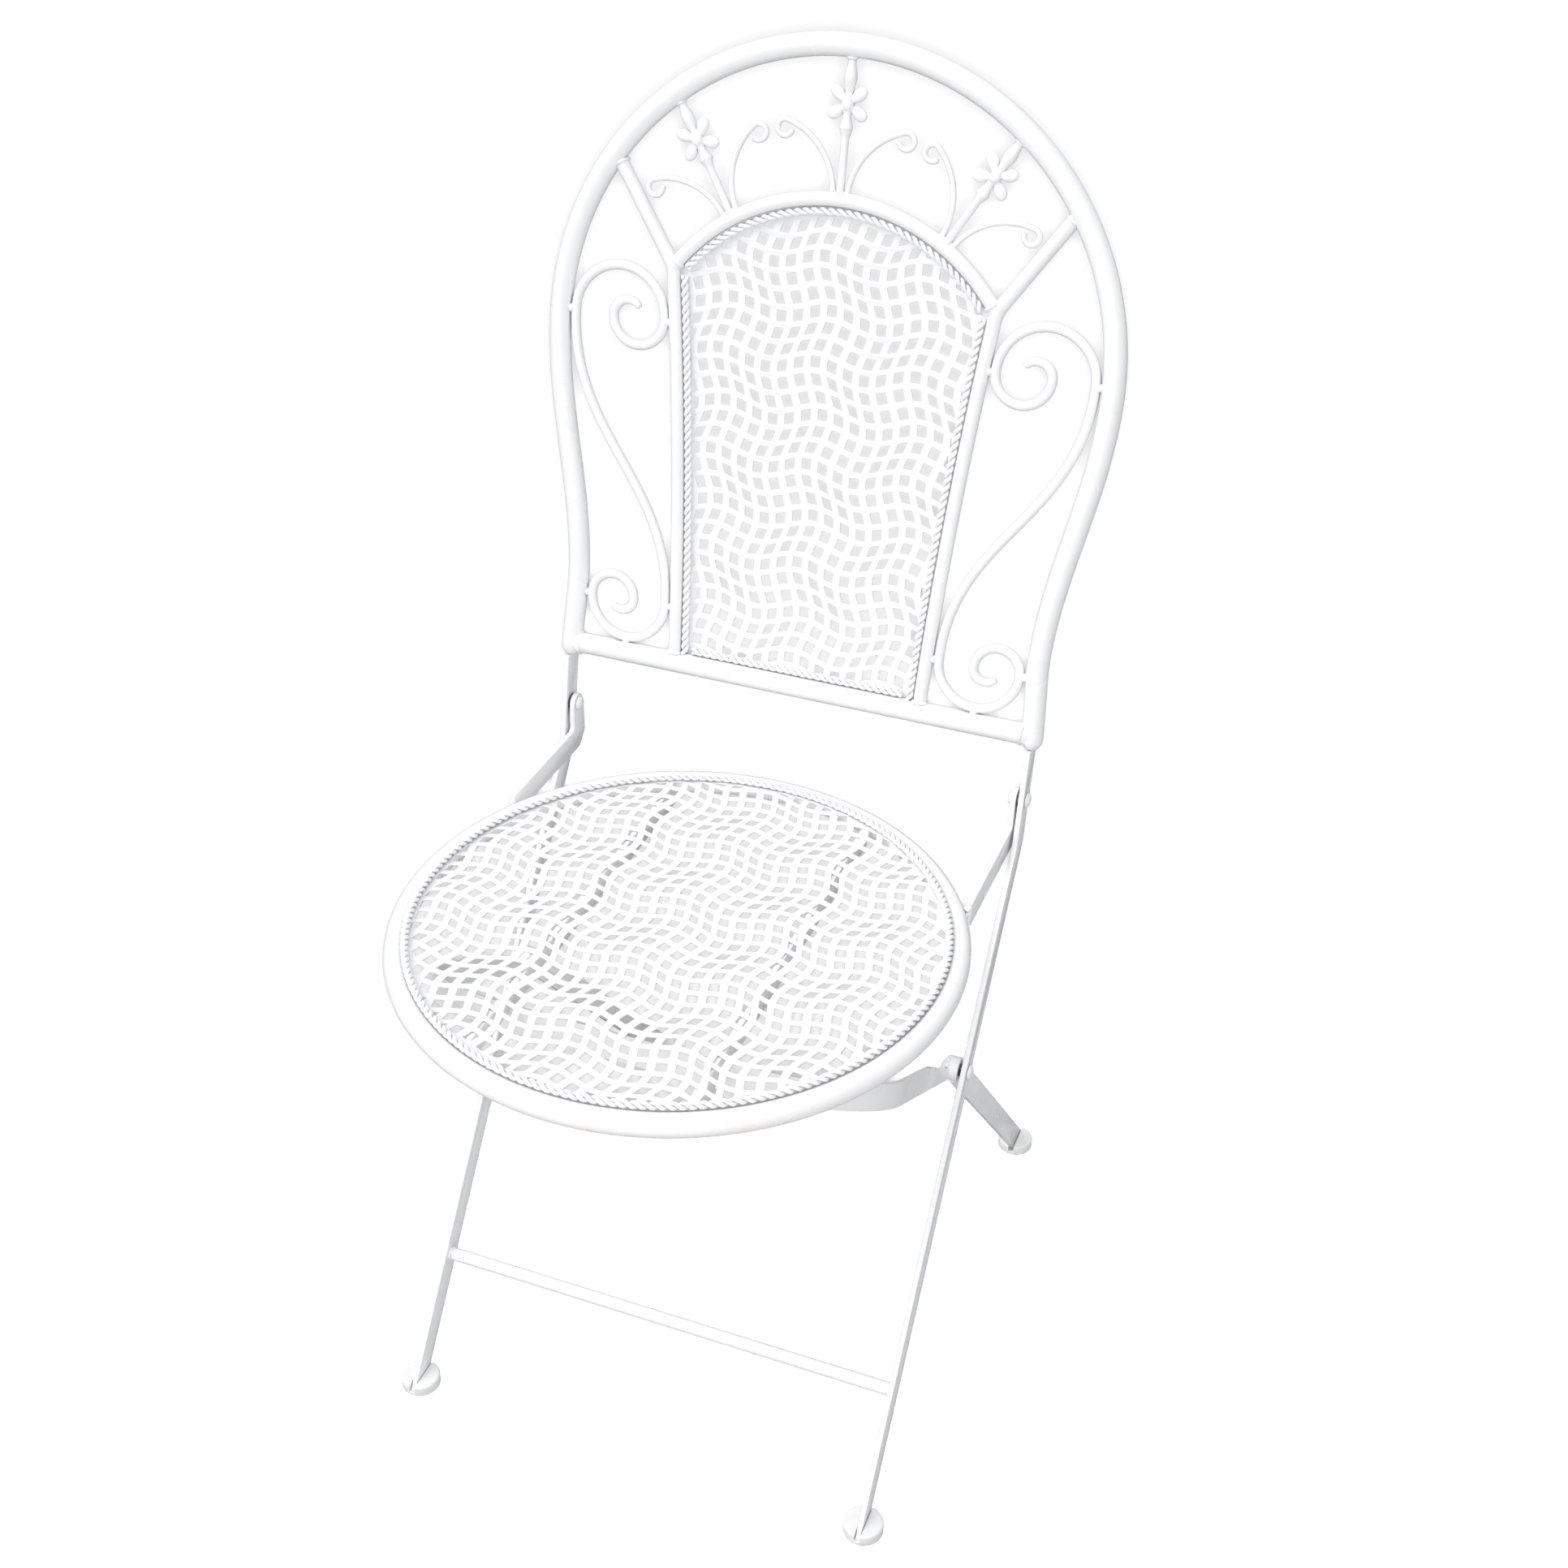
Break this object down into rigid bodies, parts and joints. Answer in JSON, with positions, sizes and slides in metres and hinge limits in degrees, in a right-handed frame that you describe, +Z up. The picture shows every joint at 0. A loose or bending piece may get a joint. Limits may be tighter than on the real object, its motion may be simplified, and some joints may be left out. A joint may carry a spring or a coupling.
{
  "type": "folding garden chair",
  "caption": "Folding garden chair of white painted steel with a round perforated seat, a hooped back with scrolls and flower sprigs, and crossed flat legs that fold with the seat.",
  "frame": {"origin": "on the floor under the middle of the chair's bounding box", "axes": "+Z up, the chair faces -Y, and +X is the right-hand side as seen from the front"},
  "size_m": [0.428, 0.5547, 0.9557],
  "materials": {
    "white_enamel": "glossy white enamel on steel tube, rod and flat bar",
    "sheet_enamel": "glossy white enamel on perforated sheet",
    "foot_plastic": "moulded off-white plastic"
  },
  "bodies": {
    "frame": {"back_hoop": "white_enamel", "back_rail": "white_enamel", "right_panel_upright": "white_enamel", "left_panel_upright": "white_enamel", "panel_arch": "white_enamel", "back_sheet": "sheet_enamel", "panel_trim_top": "white_enamel", "panel_trim_right": "white_enamel", "panel_trim_left": "white_enamel", "panel_trim_bottom": "white_enamel", "right_scroll": "white_enamel", "left_scroll": "white_enamel", "center_sprig_flower": "white_enamel", "center_sprig_stem": "white_enamel", "center_sprig_right_tendril": "white_enamel", "center_sprig_left_tendril": "white_enamel", "right_sprig_flower": "white_enamel", "right_sprig_stem": "white_enamel", "right_sprig_right_tendril": "white_enamel", "right_sprig_left_tendril": "white_enamel", "left_sprig_flower": "white_enamel", "left_sprig_stem": "white_enamel", "left_sprig_right_tendril": "white_enamel", "left_sprig_left_tendril": "white_enamel", "front_stretcher": "white_enamel", "right_front_leg": "white_enamel", "right_front_foot": "foot_plastic", "right_seat_rivet": "white_enamel", "right_leg_rivet": "white_enamel", "right_seat_washer": "white_enamel", "right_leg_washer": "white_enamel", "left_front_leg": "white_enamel", "left_front_foot": "foot_plastic", "left_seat_rivet": "white_enamel", "left_leg_rivet": "white_enamel", "left_seat_washer": "white_enamel", "left_leg_washer": "white_enamel"},
    "seat": {"seat_ring": "white_enamel", "seat_sheet": "sheet_enamel", "seat_trim": "white_enamel", "right_seat_rail": "white_enamel", "left_seat_rail": "white_enamel", "right_seat_arm": "white_enamel", "left_seat_arm": "white_enamel"},
    "rear_legs": {"right_rear_leg": "white_enamel", "left_rear_leg": "white_enamel", "right_pivot_bush": "white_enamel", "left_pivot_bush": "white_enamel", "support_arch": "white_enamel", "right_rear_foot": "foot_plastic", "left_rear_foot": "foot_plastic"}
  },
  "joints": [
    {"name": "seat_fold", "type": "hinge", "parent": "frame", "child": "seat", "pos_m": [0, 0.13037, 0.455], "axis": [-1, 0, 0], "range_deg": [0, 97.5]},
    {"name": "rear_leg_fold", "type": "hinge", "parent": "frame", "child": "rear_legs", "pos_m": [0, 0.02283, 0.281], "axis": [-1, 0, 0], "range_deg": [0, 71.7]}
  ],
  "couplings": [
    {"joint": "rear_leg_fold", "follows": "seat_fold", "ratio": 0.7346}
  ]
}
